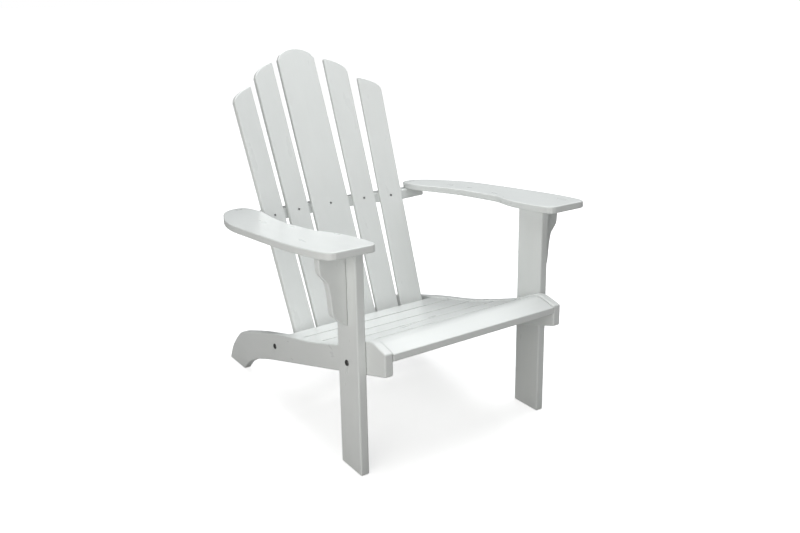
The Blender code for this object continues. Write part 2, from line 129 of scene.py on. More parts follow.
# ---- finishes -----------------------------------------------------------------------------
class NodeBench:
    """Small helper that lays out one node material."""

    def __init__(self, name: str, grained: bool = False) -> None:
        """Start an empty node material.

        Args:
            name: name of the material.
            grained: whether its pieces carry their own coordinates as an attribute.
        """
        self.grained = grained
        self.material = bpy.data.materials.new(name)
        self.material.use_nodes = True
        self.tree = self.material.node_tree
        self.shader = self.tree.nodes["Principled BSDF"]

    def node(self, kind: str, **settings: object) -> bpy.types.Node:
        """Add a node.

        Args:
            kind: Blender's name of the node type.
            settings: attributes to set on the node.

        Returns:
            The new node.
        """
        made = self.tree.nodes.new(kind)
        for key, value in settings.items():
            setattr(made, key, value)
        return made

    def link(self, source: bpy.types.NodeSocket, target: bpy.types.NodeSocket) -> None:
        """Join two sockets."""
        self.tree.links.new(source, target)

    def own_coordinates(self, scale: Sequence[float], shift: float = 0.0) -> bpy.types.NodeSocket:
        """Coordinates in metres that belong to the piece, for a board X along its grain.

        Args:
            scale: how many pattern units fit in a metre along each axis.
            shift: sideways move that sets one pattern apart from another.

        Returns:
            The socket that carries the scaled coordinates.
        """
        if self.grained:
            own = self.node("ShaderNodeAttribute", attribute_name=GRAIN_PLACE).outputs["Vector"]
        else:
            own = self.node("ShaderNodeTexCoord").outputs["Object"]
        where = self.node("ShaderNodeObjectInfo")
        apart = self.node("ShaderNodeVectorMath", operation="MULTIPLY_ADD")
        apart.inputs[1].default_value = (7.0, 11.0, 5.0)
        self.link(where.outputs["Location"], apart.inputs[0])
        self.link(own, apart.inputs[2])
        mapping = self.node("ShaderNodeMapping")
        mapping.inputs["Scale"].default_value = scale
        mapping.inputs["Location"].default_value = (shift, shift * 0.7, -shift)
        self.link(apart.outputs["Vector"], mapping.inputs["Vector"])
        return mapping.outputs["Vector"]

    def noise(self, vector: bpy.types.NodeSocket, detail: float, roughness: float,
              distortion: float = 0.0) -> bpy.types.NodeSocket:
        """Noise with one unit per pattern unit of the coordinates.

        Args:
            vector: coordinates to read.
            detail: number of finer layers.
            roughness: strength of the finer layers.
            distortion: how far the pattern swirls.

        Returns:
            The socket that carries the noise, from 0 to 1.
        """
        noise = self.node("ShaderNodeTexNoise")
        noise.inputs["Scale"].default_value = 1.0
        noise.inputs["Detail"].default_value = detail
        noise.inputs["Roughness"].default_value = roughness
        noise.inputs["Distortion"].default_value = distortion
        self.link(vector, noise.inputs["Vector"])
        return noise.outputs["Fac"]

    def spread(self, value: bpy.types.NodeSocket, low: float, high: float,
               source: Pair = (0.3, 0.7)) -> bpy.types.NodeSocket:
        """Stretch a value to a new range.

        Args:
            value: socket to read.
            low: result at the low end.
            high: result at the high end.
            source: range of the value that is stretched.

        Returns:
            The socket that carries the result.
        """
        ranged = self.node("ShaderNodeMapRange")
        ranged.inputs["From Min"].default_value = source[0]
        ranged.inputs["From Max"].default_value = source[1]
        ranged.inputs["To Min"].default_value = low
        ranged.inputs["To Max"].default_value = high
        self.link(value, ranged.inputs["Value"])
        return ranged.outputs["Result"]

    def tint(self, factor: bpy.types.NodeSocket, first: Sequence[float],
             second: Sequence[float]) -> bpy.types.NodeSocket:
        """Mix of two colours by a factor.

        Args:
            factor: socket that carries the share of the second colour.
            first: colour at 0.
            second: colour at 1.

        Returns:
            The socket that carries the colour.
        """
        mix = self.node("ShaderNodeMix", data_type="RGBA")
        for name, value in (("A", first), ("B", second)):
            socket = next(s for s in mix.inputs if s.name == name and s.type == "RGBA")
            socket.default_value = (*value, 1.0)
        self.link(factor, mix.inputs["Factor"])
        return next(s for s in mix.outputs if s.type == "RGBA")

    def bump(self, height: bpy.types.NodeSocket, depth: float,
             under: bpy.types.NodeSocket | None = None) -> bpy.types.NodeSocket:
        """Relief from a height.

        Args:
            height: socket that carries the height, from 0 to 1.
            depth: height of the relief in metres.
            under: normal of a coarser relief underneath.

        Returns:
            The socket that carries the bent normal.
        """
        bump = self.node("ShaderNodeBump")
        bump.inputs["Strength"].default_value = 1.0
        bump.inputs["Distance"].default_value = depth
        self.link(height, bump.inputs["Height"])
        if under is not None:
            self.link(under, bump.inputs["Normal"])
        return bump.outputs["Normal"]


@dataclass(frozen=True)
class OutdoorPaint:
    """White satin paint on smooth planed wood, with the grain just telling through."""

    name: str = "white_outdoor_paint"
    light: tuple[float, float, float] = (0.802, 0.822, 0.810)
    shade: tuple[float, float, float] = (0.772, 0.792, 0.779)
    gloss: Pair = (0.27, 0.37)
    grain_depth: float = 0.00003
    roller_depth: float = 0.00003

    def make(self) -> bpy.types.Material:
        """Build the material.

        Returns:
            The painted wood.
        """
        bench = NodeBench(self.name, grained=True)
        cloud = bench.noise(bench.own_coordinates((9.0, 26.0, 26.0), 3.1), 3.0, 0.5)
        grain = bench.noise(bench.own_coordinates((7.0, 210.0, 210.0), 1.7), 4.0, 0.62, 0.8)
        roller = bench.noise(bench.own_coordinates((760.0, 760.0, 760.0)), 2.0, 0.5)
        blend = bench.node("ShaderNodeMath", operation="MULTIPLY_ADD")
        blend.inputs[1].default_value = 0.35
        bench.link(bench.spread(grain, 0.0, 1.0), blend.inputs[0])
        bench.link(bench.spread(cloud, 0.0, 0.65), blend.inputs[2])
        colour = bench.tint(blend.outputs["Value"], self.light, self.shade)
        bench.link(colour, bench.shader.inputs["Base Color"])
        bench.link(bench.spread(cloud, *self.gloss), bench.shader.inputs["Roughness"])
        relief = bench.bump(grain, self.grain_depth)
        relief = bench.bump(roller, self.roller_depth, relief)
        bench.link(relief, bench.shader.inputs["Normal"])
        bench.shader.inputs["IOR"].default_value = 1.48
        bench.shader.inputs["Coat Weight"].default_value = 0.2
        bench.shader.inputs["Coat Roughness"].default_value = 0.2
        return bench.material


@dataclass(frozen=True)
class Steel:
    """Plated or blackened steel with a fine rolled texture."""

    name: str
    light: tuple[float, float, float]
    shade: tuple[float, float, float]
    gloss: Pair
    pit_depth: float = 0.00002

    def make(self) -> bpy.types.Material:
        """Build the material.

        Returns:
            The metal.
        """
        bench = NodeBench(self.name)
        mottle = bench.noise(bench.own_coordinates((520.0, 520.0, 520.0)), 4.0, 0.6)
        pits = bench.noise(bench.own_coordinates((2600.0, 2600.0, 2600.0), 2.3), 2.0, 0.5)
        bench.link(bench.tint(bench.spread(mottle, 0.0, 1.0), self.light, self.shade),
                   bench.shader.inputs["Base Color"])
        bench.link(bench.spread(mottle, *self.gloss), bench.shader.inputs["Roughness"])
        bench.link(bench.bump(pits, self.pit_depth), bench.shader.inputs["Normal"])
        bench.shader.inputs["Metallic"].default_value = 1.0
        return bench.material


@dataclass(frozen=True)
class BareBirch:
    """Turned birch of the dowels, with a straight fine grain."""

    name: str = "bare_birch"
    light: tuple[float, float, float] = (0.66, 0.50, 0.32)
    shade: tuple[float, float, float] = (0.52, 0.37, 0.22)

    def make(self) -> bpy.types.Material:
        """Build the material.

        Returns:
            The bare wood.
        """
        bench = NodeBench(self.name)
        grain = bench.noise(bench.own_coordinates((60.0, 60.0, 900.0)), 4.0, 0.6, 0.5)
        bench.link(bench.tint(bench.spread(grain, 0.0, 1.0), self.light, self.shade),
                   bench.shader.inputs["Base Color"])
        bench.link(bench.spread(grain, 0.58, 0.72), bench.shader.inputs["Roughness"])
        bench.link(bench.bump(grain, 0.00006), bench.shader.inputs["Normal"])
        return bench.material


# ---- lines --------------------------------------------------------------------------------
def smooth_curve(points: Iterable[Sequence[float]], steps: int = 8) -> list[Vector]:
    """Catmull-Rom curve through points.

    Args:
        points: the points it passes.
        steps: number of steps per stretch.

    Returns:
        Points along the curve.
    """
    guide = [Vector(p) for p in points]
    guide = [2 * guide[0] - guide[1]] + guide + [2 * guide[-1] - guide[-2]]
    curve = []
    for i in range(1, len(guide) - 2):
        a, b, c, d = guide[i - 1:i + 3]
        for k in range(steps):
            t = k / steps
            curve.append(0.5 * (2 * b + (c - a) * t + (2 * a - 5 * b + 4 * c - d) * t * t
                                + (3 * b - a - 3 * c + d) * t ** 3))
    curve.append(guide[-2])
    return curve


def height_on(curve: Sequence[Vector], y: float) -> float:
    """Height of a curve of (y, z) points.

    Args:
        curve: the points, in order.
        y: where to read it.

    Returns:
        The height at y.
    """
    for a, b in zip(curve, curve[1:]):
        if min(a.x, b.x) <= y <= max(a.x, b.x):
            return a.y + (b.y - a.y) * (y - a.x) / (b.x - a.x)
    raise ValueError(f"the curve doesn't reach y = {y}")


def below(curve: Sequence[Vector], distance: float) -> list[Vector]:
    """The same curve moved down square to itself.

    Args:
        curve: points in (y, z).
        distance: how far it moves.

    Returns:
        The moved points.
    """
    moved = []
    for i, point in enumerate(curve):
        run = curve[min(i + 1, len(curve) - 1)] - curve[max(i - 1, 0)]
        normal = Vector((-run.y, run.x)).normalized()
        if normal.y > 0:
            normal.negate()
        moved.append(point + normal * distance)
    return moved


def aim(place: Sequence[float], direction: Sequence[float]) -> Matrix:
    """Frame at a place whose +Z runs along a direction.

    Args:
        place: its origin.
        direction: where its +Z points.

    Returns:
        The frame.
    """
    turn = Vector(direction).to_track_quat("Z", "Y").to_matrix().to_4x4()
    return Matrix.Translation(place) @ turn


def plane_frame(origin: Sequence[float], first: Sequence[float],
                second: Sequence[float]) -> Matrix:
    """Frame of a plane: X and Y lie in it and Z stands on it.

    Args:
        origin: a point in the plane.
        first: direction of X.
        second: direction of Y, square to X.

    Returns:
        The frame.
    """
    x, y = Vector(first).normalized(), Vector(second).normalized()
    turn = Matrix((x, y, x.cross(y))).transposed().to_4x4()
    return Matrix.Translation(origin) @ turn


def where_planes_meet(*planes: tuple[Vector, Vector]) -> Vector:
    """Point shared by three planes.

    Args:
        planes: each a normal and a point in the plane.

    Returns:
        The shared point.
    """
    normals = Matrix([normal for normal, _ in planes])
    return normals.inverted() @ Vector([normal.dot(point) for normal, point in planes])


# ---- shared geometry of the chair ---------------------------------------------------------
@dataclass(frozen=True)
class ChairLines:
    """Lines that several sub-assemblies share."""

    half_width: float = 0.282
    leg_thick: float = 0.0225
    leg_depth: float = 0.090
    leg_front: float = -0.369
    rail_thick: float = 0.022
    arm_thick: float = 0.018
    arm_top_at_leg: float = 0.5632
    arm_fall: float = math.atan(0.094)
    slat_thick: float = 0.014
    seat_thick: float = 0.017
    front_slat_thick: float = 0.0195
    narrow_slats: int = 4
    seat_below_rail: float = 0.003
    front_slat_below_rail: float = 0.004
    seat_pitch: float = 0.0972
    seat_slot: float = 0.0094
    first_slot: float = -0.0113
    seat_rear: float = 0.0745
    rail_top: Profile = (
        (0.4385, 0.0), (0.4251, 0.0270), (0.4117, 0.0491), (0.3899, 0.0740), (0.3651, 0.0973),
        (0.3390, 0.1151), (0.2923, 0.1319), (0.2036, 0.1601), (0.1243, 0.1824),
        (0.0392, 0.2050), (-0.0811, 0.2330), (-0.1692, 0.2585), (-0.2545, 0.2860),
        (-0.3080, 0.3070), (-0.3480, 0.3265), (-0.3730, 0.3362), (-0.3930, 0.3390),
        (-0.4130, 0.3358), (-0.4460, 0.3280))

    @property
    def rail_outer(self) -> float:
        """Distance of a rail's outer face from the middle."""
        return self.half_width - self.leg_thick - GAP

    @property
    def rail_inner(self) -> float:
        """Distance of a rail's inner face from the middle."""
        return self.rail_outer - self.rail_thick

    @property
    def leg_middle(self) -> float:
        """y of the middle of a front leg."""
        return self.leg_front + self.leg_depth / 2

    @property
    def arm_normal(self) -> Vector:
        """Normal of the armrests' tops."""
        return Vector((0.0, math.sin(self.arm_fall), math.cos(self.arm_fall)))

    @property
    def rail_curve(self) -> list[Vector]:
        """Top edge of a side rail, from the heel to the nose."""
        return smooth_curve(self.rail_top)

    def arm_top(self, y: float) -> float:
        """Height of the armrests' tops at y."""
        return self.arm_top_at_leg - math.tan(self.arm_fall) * (y - self.leg_middle)

    def arm_underside(self, y: float) -> float:
        """Height of the armrests' undersides at y."""
        return self.arm_top(y) - self.arm_thick / math.cos(self.arm_fall)

    def arm_plane(self, depth: float = 0.0) -> Matrix:
        """Frame in the armrests' top plane, or a depth below it."""
        along = (0.0, math.cos(self.arm_fall), -math.sin(self.arm_fall))
        origin = Vector((0.0, 0.0, self.arm_top(0.0))) - self.arm_normal * depth
        return plane_frame(origin, (1.0, 0.0, 0.0), along)

    def on_arm_plane(self, point: Sequence[float], depth: float = 0.0) -> Vector:
        """Place in that frame of a point given by its x and y in the chair.

        Args:
            point: x and y in the chair.
            depth: depth of the frame below the armrests' tops.

        Returns:
            The same point in the plane's own X and Y.
        """
        shift = depth * math.sin(self.arm_fall)
        return Vector((point[0], (point[1] + shift) / math.cos(self.arm_fall)))

    def seat_chord(self, index: int) -> list[Vector]:
        """Top corners, rear and front, of one of the four narrow seat slats."""
        rear = self.first_slot - (index - 1) * self.seat_pitch - self.seat_slot / 2
        front = self.first_slot - index * self.seat_pitch + self.seat_slot / 2
        if index == 0:
            rear = self.seat_rear
        curve = self.rail_curve
        return [Vector((y, height_on(curve, y) - self.seat_below_rail)) for y in (rear, front)]

    def front_slat_top(self) -> list[Vector]:
        """Top of the shaped front seat slat, from its rear edge over the crown to the nose."""
        rear = self.first_slot - (self.narrow_slats - 1) * self.seat_pitch - self.seat_slot / 2
        curve = self.rail_curve
        line = [Vector((rear, height_on(curve, rear)))]
        line += [p for p in curve if p.x < rear - self.seat_slot / 2]
        return [p - Vector((0.0, self.front_slat_below_rail)) for p in line]


LINES = ChairLines()


@dataclass(frozen=True)
class SlatPlace:
    """Where one back slat stands and how it is cut."""

    name: str
    side: int
    upper: Pair
    lower: Pair
    turn: float
    width: float
    head: Profile
    heights: Pair = (0.4853, 0.3102)

    @property
    def frame(self) -> Matrix:
        """Frame on the slat's face at its upper screw: X across, Y up the slat."""
        top = Vector((self.side * self.upper[0], self.upper[1], self.heights[0]))
        foot = Vector((self.side * self.lower[0], self.lower[1], self.heights[1]))
        along = (top - foot).normalized()
        across = Vector((math.cos(self.turn), -self.side * math.sin(self.turn), 0.0))
        return plane_frame(top, across - along * across.dot(along), along)

    def along_to(self, height: float) -> float:
        """Distance along the slat from its upper screw to a height in the chair."""
        return (height - self.heights[0]) / self.frame.col[1].z


def slat_places() -> tuple[SlatPlace, ...]:
    """The five back slats.

    Returns:
        The slats from the sitter's right to their left.
    """
    inner_head = ((-0.03425, 0.3850), (-0.0295, 0.3955), (-0.0185, 0.4070), (0.0, 0.4185),
                  (0.0180, 0.4260), (0.0290, 0.4300), (0.03425, 0.4275))
    outer_head = ((-0.03425, 0.3235), (-0.0295, 0.3340), (-0.0185, 0.3445), (0.0, 0.3550),
                  (0.0180, 0.3620), (0.0290, 0.3665), (0.03425, 0.3645))
    centre_head = ((-0.0592, 0.4345), (-0.0490, 0.4500), (-0.0340, 0.4590), (-0.0180, 0.4646),
                   (0.0, 0.4665), (0.0180, 0.4646), (0.0340, 0.4590), (0.0490, 0.4500),
                   (0.0592, 0.4345))
    outer = ((0.1889, 0.2154), (0.1808, 0.1432), math.radians(14.8), 0.0685, outer_head)
    inner = ((0.1067, 0.2333), (0.1025, 0.1583), math.radians(8.6), 0.0685, inner_head)
    centre = ((0.0, 0.2422), (0.0, 0.1643), 0.0, 0.1184, centre_head)
    return (SlatPlace("back_slat_outer_right", -1, *outer),
            SlatPlace("back_slat_inner_right", -1, *inner),
            SlatPlace("back_slat_centre", 1, *centre),
            SlatPlace("back_slat_inner_left", 1, *inner),
            SlatPlace("back_slat_outer_left", 1, *outer))


SLATS = slat_places()


# ---- workshop -----------------------------------------------------------------------------
@dataclass
class Workshop:
    """Cuts boards and turns fasteners, and hands each to its body in the frame."""

    finishes: dict[Finish, bpy.types.Material]
    made: list[str] = field(default_factory=list)

    def mesh_object(self, name: str, vertices: Iterable[Sequence[float]],
                    faces: Iterable[Sequence[int]]) -> bpy.types.Object:
        """Closed mesh with its faces turned outwards.

        Args:
            name: name of the object.
            vertices: its corners.
            faces: corner numbers of each face.

        Returns:
            The object, linked to the scene.
        """
        mesh = bpy.data.meshes.new(name)
        mesh.from_pydata([tuple(v) for v in vertices], [], [tuple(f) for f in faces])
        mesh.update()
        shape = bmesh.new()
        shape.from_mesh(mesh)
        bmesh.ops.recalc_face_normals(shape, faces=shape.faces)
        shape.to_mesh(mesh)
        shape.free()
        made = bpy.data.objects.new(name, mesh)
        bpy.context.scene.collection.objects.link(made)
        return made

    def settle(self, piece: bpy.types.Object) -> None:
        """Turn a piece's modifiers into plain mesh and shade its curved faces smooth."""
        graph = bpy.context.evaluated_depsgraph_get()
        graph.update()
        mesh = bpy.data.meshes.new_from_object(piece.evaluated_get(graph))
        piece.modifiers.clear()
        piece.data = mesh
        mesh.shade_smooth()
        mesh.set_sharp_from_angle(angle=SHARP)

    def cut(self, piece: bpy.types.Object, cutters: Sequence[bpy.types.Object]) -> None:
        """Cut shapes out of a piece and throw the cutters away.

        Args:
            piece: what is cut.
            cutters: closed shapes in the same frame as the piece.
        """
        for cutter in cutters:
            tool = piece.modifiers.new("cut", "BOOLEAN")
            tool.operation = "DIFFERENCE"
            tool.solver = "EXACT"
            tool.object = cutter
        self.settle(piece)
        for cutter in cutters:
            bpy.data.objects.remove(cutter, do_unlink=True)

    def turned(self, name: str, profile: Profile, sides: int,
               spread: float = 0.0) -> bpy.types.Object:
        """Solid of revolution about Z.

        Args:
            name: name of the object.
            profile: (height, radius) from one end on the axis to the other.
            sides: number of sides.
            spread: added to every radius off the axis.

        Returns:
            The turned solid.
        """
        vertices: list[Sequence[float]] = []
        rings: list[list[int]] = []
        for height, radius in profile:
            first = len(vertices)
            if radius == 0.0:
                vertices.append((0.0, 0.0, height))
                rings.append([first] * sides)
                continue
            for k in range(sides):
                angle = math.tau * (k + 0.5) / sides
                reach = radius + spread
                vertices.append((reach * math.cos(angle), reach * math.sin(angle), height))
            rings.append(list(range(first, first + sides)))
        faces = []
        for a, b in zip(rings, rings[1:]):
            for k in range(sides):
                n = (k + 1) % sides
                faces.append(list(dict.fromkeys([a[k], b[k], b[n], a[n]])))
        return self.mesh_object(name, vertices, faces)

    def board(self, node: str, top: Sequence[Vector], bottom: Sequence[Vector], place: Matrix,
              thick: float, grain: Sequence[float], edge: float,
              bores: Sequence[tuple[Profile, Matrix]] = ()) -> bpy.types.Object:
        """Board between two outlines, with rounded edges, that stands for a plain solid.

        Args:
            node: solid in the frame that it stands for.
            top: outline in the place's XY plane.
            bottom: outline a thickness below it, with as many points.
            place: frame of the outlines.
            thick: thickness of the board.
            grain: direction of the wood's grain in the place's frame.
            edge: radius of the rounded edges.
            bores: profile and frame, in the chair, of each bore.

        Returns:
            The finished board.
        """
        along = Vector(grain).normalized()
        up = Vector((0.0, 0.0, 1.0)) if abs(along.z) < 0.5 else Vector((0.0, 1.0, 0.0))
        middle = sum((p.to_3d() for p in top), Vector()) / len(top)
        local = place @ plane_frame(middle - Vector((0.0, 0.0, thick / 2)), along, up.cross(along))
        to_local = local.inverted() @ place
        count = len(top)
        corners = [to_local @ p.to_3d() for p in top]
        corners += [to_local @ Vector((p.x, p.y, -thick)) for p in bottom]
        faces: list[Sequence[int]] = [range(count), range(count, 2 * count)]
        for i in range(count):
            j = (i + 1) % count
            faces.append((i, j, count + j, count + i))
        piece = self.mesh_object("painted_" + node, corners, faces)
        bevel = piece.modifiers.new("rounded edges", "BEVEL")
        bevel.width = edge
        bevel.segments = 5
        bevel.limit_method = "ANGLE"
        bevel.angle_limit = math.radians(40)
        bevel.use_clamp_overlap = False
        self.settle(piece)
        cutters = []
        for profile, frame in bores:
            cutter = self.turned("bore", profile, 32, spread=GAP)
            cutter.data.transform(local.inverted() @ frame)
            cutters.append(cutter)
        if cutters:
            self.cut(piece, cutters)
        piece.modifiers.new("even normals", "WEIGHTED_NORMAL").keep_sharp = True
        self.stand_upright(piece, local)
        self.hand_over(piece, node, Finish.PAINT)
        return piece

    def stand_upright(self, piece: bpy.types.Object, local: Matrix) -> None:
        """Turn a board's mesh into the chair's axes and keep its own coordinates as an attribute.

        Args:
            piece: the board, with its mesh in its own frame.
            local: that frame in the chair, X along the grain.
        """
        mesh = piece.data
        own = mesh.attributes.new(GRAIN_PLACE, "FLOAT_VECTOR", "POINT")
        own.data.foreach_set("vector", [value for vertex in mesh.vertices for value in vertex.co])
        mesh.transform(local.to_3x3().to_4x4())
        piece.matrix_world = Matrix.Translation(local.translation)

    def hand_over(self, piece: bpy.types.Object, node: str, finish: Finish) -> None:
        """Dress a finished piece and let it stand for its solid.

        Args:
            piece: the piece, in place.
            node: solid in the frame that it stands for.
            finish: its finish.
        """
        piece.data.materials.clear()
        piece.data.materials.append(self.finishes[finish])
        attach(piece, BODY)
        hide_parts(node)
        self.made.append(piece.name)
        LOG.info("%s: %d faces", piece.name, len(piece.data.polygons))


# ---- fasteners ----------------------------------------------------------------------------
@dataclass
class Fastener:
    """A turned fastener with a recess in its head, made once and placed many times."""

    name: str
    profile: Profile
    bore: Profile
    drive: Drive
    drive_width: float
    drive_depth: float
    finish: Finish
    mesh: bpy.types.Mesh | None = None

    def recess(self, shop: Workshop) -> list[bpy.types.Object]:
        """Cutters for the recess.

        Args:
            shop: the workshop.

        Returns:
            One hexagonal prism, or the two tapered bars of a cross.
        """
        top = self.profile[0][0] - self.drive_depth
        floor = self.profile[0][0] + self.drive_depth
        half = self.drive_width / 2
        if self.drive is Drive.HEX:
            radius = half / math.cos(math.pi / 6)
            shape = ((top, 0.0), (top, radius), (floor, radius), (floor + half / 3, 0.0))
            return [shop.turned("hex", shape, 6)]
        bars = []
        thin = half / 3.2
        for turn in (0.0, math.pi / 2):
            corners = []
            for height, reach in ((top, half), (floor, half * 0.35)):
                corners += [(-reach, -thin, height), (reach, -thin, height),
                            (reach, thin, height), (-reach, thin, height)]
            faces = ((0, 1, 2, 3), (4, 5, 6, 7), (0, 1, 5, 4), (1, 2, 6, 5), (2, 3, 7, 6),
                     (3, 0, 4, 7))
            bar = shop.mesh_object("bar", corners, faces)
            bar.data.transform(Matrix.Rotation(turn, 4, "Z"))
            bars.append(bar)
        return bars

    def place(self, shop: Workshop, node: str, frame: Matrix) -> bpy.types.Object:
        """Put one in its place.

        Args:
            shop: the workshop.
            node: solid in the frame that it stands for.
            frame: its place, +Z along its shank.

        Returns:
            The placed fastener.
        """
        if self.mesh is None:
            first = shop.turned(self.name, self.profile, 40)
            shop.cut(first, self.recess(shop))
            self.mesh = first.data
            bpy.data.objects.remove(first, do_unlink=True)
        piece = bpy.data.objects.new("fine_" + node, self.mesh.copy())
        bpy.context.scene.collection.objects.link(piece)
        piece.matrix_world = frame
        shop.hand_over(piece, node, self.finish)
        return piece


SCREW_BORE: Profile = ((-0.0060, 0.0), (-0.0060, 0.0032), (0.0006, 0.0032), (0.0032, 0.0017),
                       (0.0340, 0.0015), (0.0376, 0.0))
BOLT_BORE: Profile = ((-0.0040, 0.0), (-0.0040, 0.0030), (0.0400, 0.0030), (0.0400, 0.0))
SCREW_SHAPE: Profile = ((0.0006, 0.0), (0.0006, 0.0029), (0.0008, 0.0032), (0.0032, 0.0017),
                        (0.0340, 0.0015), (0.0370, 0.0))
BOLT_SHAPE: Profile = ((-0.0026, 0.0), (-0.0026, 0.0052), (-0.0024, 0.0061), (-0.0019, 0.0069),
                       (-0.0011, 0.0073), (0.0, 0.0073), (0.0, 0.0030), (0.0370, 0.0030),
                       (0.0380, 0.0024), (0.0380, 0.0))


@dataclass
class Hardware:
    """All bolts, screws, inserts and dowels."""

    leg_bolt: Pair = (-0.3202, 0.2701)
    rear_bolt: Pair = (0.1122, 0.1507)
    arm_screws: Profile = ((0.2765, 0.243), (0.2880, 0.243))
    lower_screw_height: float = 0.162
    front_slat_screw: float = -0.340
    cleat_thick: float = 0.020

    def bolt_frame(self, side: Side, rear: bool) -> Matrix:
        """Frame of a bolt, under its head.

        Args:
            side: side of the chair.
            rear: True for the bolt into the lower rail, False for the front leg's.

        Returns:
            The frame, +Z along the shank.
        """
        face = LINES.rail_outer if rear else LINES.half_width
        y, z = self.rear_bolt if rear else self.leg_bolt
        return aim((side.value * (face + GAP), y, z), (-side.value, 0.0, 0.0))

    def slat_screw_frame(self, slat: SlatPlace, lower: bool) -> Matrix:
        """Frame of a screw through a back slat.

        Args:
            slat: the slat.
            lower: True for the screw into the lower rail.

        Returns:
            The frame, +Z along the shank.
        """
        frame = slat.frame
        down = slat.along_to(self.lower_screw_height) if lower else 0.0
        return aim(frame @ Vector((0.0, down, 0.0)), -frame.col[2].to_3d())

    def arm_screw_frame(self, side: Side, index: int) -> Matrix:
        """Frame of one of the two screws at the rear of an armrest."""
        x, y = self.arm_screws[index]
        return aim((side.value * x, y, LINES.arm_top(y)), -LINES.arm_normal)

    def build(self, shop: Workshop) -> None:
        """Make and place every fastener.

        Args:
            shop: the workshop.
        """
        # The bolts take the black steel with painted sheen, lighter than the screws' black steel.
        bolt = Fastener("joint_bolt", BOLT_SHAPE, BOLT_BORE, Drive.HEX, 0.006, 0.0020,
                        Finish.BURNISHED)
        zinc_screw = Fastener("zinc_screw", SCREW_SHAPE, SCREW_BORE, Drive.CROSS, 0.0040,
                              0.0014, Finish.ZINC)
        black_screw = Fastener("black_screw", SCREW_SHAPE, SCREW_BORE, Drive.CROSS, 0.0040,
                               0.0014, Finish.BLACK)
        for side in Side:
            bolt.place(shop, f"front_leg_bolt_{side.word}", self.bolt_frame(side, False))
            bolt.place(shop, f"rear_rail_bolt_{side.word}", self.bolt_frame(side, True))
            for index, word in enumerate(("inner", "outer")):
                black_screw.place(shop, f"{side.word}_armrest_{word}_screw",
                                  self.arm_screw_frame(side, index))
            for slat in ("seat_slat_1", "seat_slat_2", "seat_slat_3", "seat_slat_4",
                         "front_seat_slat"):
                node = f"{slat}_screw_{side.word}"
                low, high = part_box(node)
                foot = ((low.x + high.x) / 2, (low.y + high.y) / 2, low.z - 0.0006)
                zinc_screw.place(shop, node, aim(foot, (0.0, 0.0, 1.0)))
        for slat in SLATS:
            zinc_screw.place(shop, slat.name + "_upper_screw", self.slat_screw_frame(slat, False))
            zinc_screw.place(shop, slat.name + "_lower_screw", self.slat_screw_frame(slat, True))

    def dress_hidden(self, shop: Workshop, nodes: dict[str, bpy.types.Object]) -> None:
        """Give the inserts and dowels, which keep their plain shape, their own finish.

        Args:
            shop: the workshop.
            nodes: the frame's solids by name.
        """
        for name, node in nodes.items():
            if "insert" not in name and "dowel" not in name:
                continue
            finish = Finish.ZINC if "insert" in name else Finish.BIRCH
            for place in node.material_slots:
                place.material = shop.finishes[finish]
            LOG.info("%s keeps its shape", name)


# ---- sub-assemblies -----------------------------------------------------------------------
def mirrored(points: Iterable[Sequence[float]], side: Side) -> list[Vector]:
    """Points with their x on one side of the chair."""
    return [Vector((side.value * p[0], p[1])) for p in points]


@dataclass
class Frame:
    """Side rails and front legs."""

    hardware: Hardware
    edge: float = 0.004
    underside: Profile = (
        (-0.4460, 0.2733), (-0.2363, 0.2111), (0.0251, 0.1338), (0.1493, 0.0969),
        (0.2175, 0.0740), (0.2552, 0.0576), (0.2991, 0.0336), (0.3275, 0.0100),
        (0.3360, 0.0))

    def side_place(self, x: float) -> Matrix:
        """Frame of a board that stands in the chair's length, its Z towards +X."""
        return plane_frame((x, 0.0, 0.0), (0.0, 1.0, 0.0), (0.0, 0.0, 1.0))

    def rails(self, shop: Workshop) -> None:
        """Cut the two side rails."""
        outline = LINES.rail_curve + smooth_curve(self.underside)
        for side in Side:
            face = LINES.rail_outer if side is Side.LEFT else -LINES.rail_inner
            bores = [(BOLT_BORE, self.hardware.bolt_frame(side, True))]
            shop.board(f"{side.word}_side_rail", outline, outline, self.side_place(face),
                       LINES.rail_thick, (1.0, 0.0, 0.0), self.edge, bores)

    def legs(self, shop: Workshop) -> None:
        """Cut the two front legs."""
        front = LINES.leg_front
        rear = front + LINES.leg_depth
        outline = [Vector(p) for p in (
            (front, 0.0), (rear, 0.0), (rear, LINES.arm_underside(rear) - GAP),
            (front, LINES.arm_underside(front) - GAP))]
        for side in Side:
            face = LINES.half_width - (0.0 if side is Side.LEFT else LINES.leg_thick)
            bores = [(BOLT_BORE, self.hardware.bolt_frame(side, False))]
            shop.board(f"{side.word}_front_leg", outline, outline,
                       self.side_place(side.value * face), LINES.leg_thick,
                       (0.0, 1.0, 0.0), self.edge, bores)

    def build(self, shop: Workshop) -> None:
        """Make the frame."""
        self.rails(shop)
        self.legs(shop)


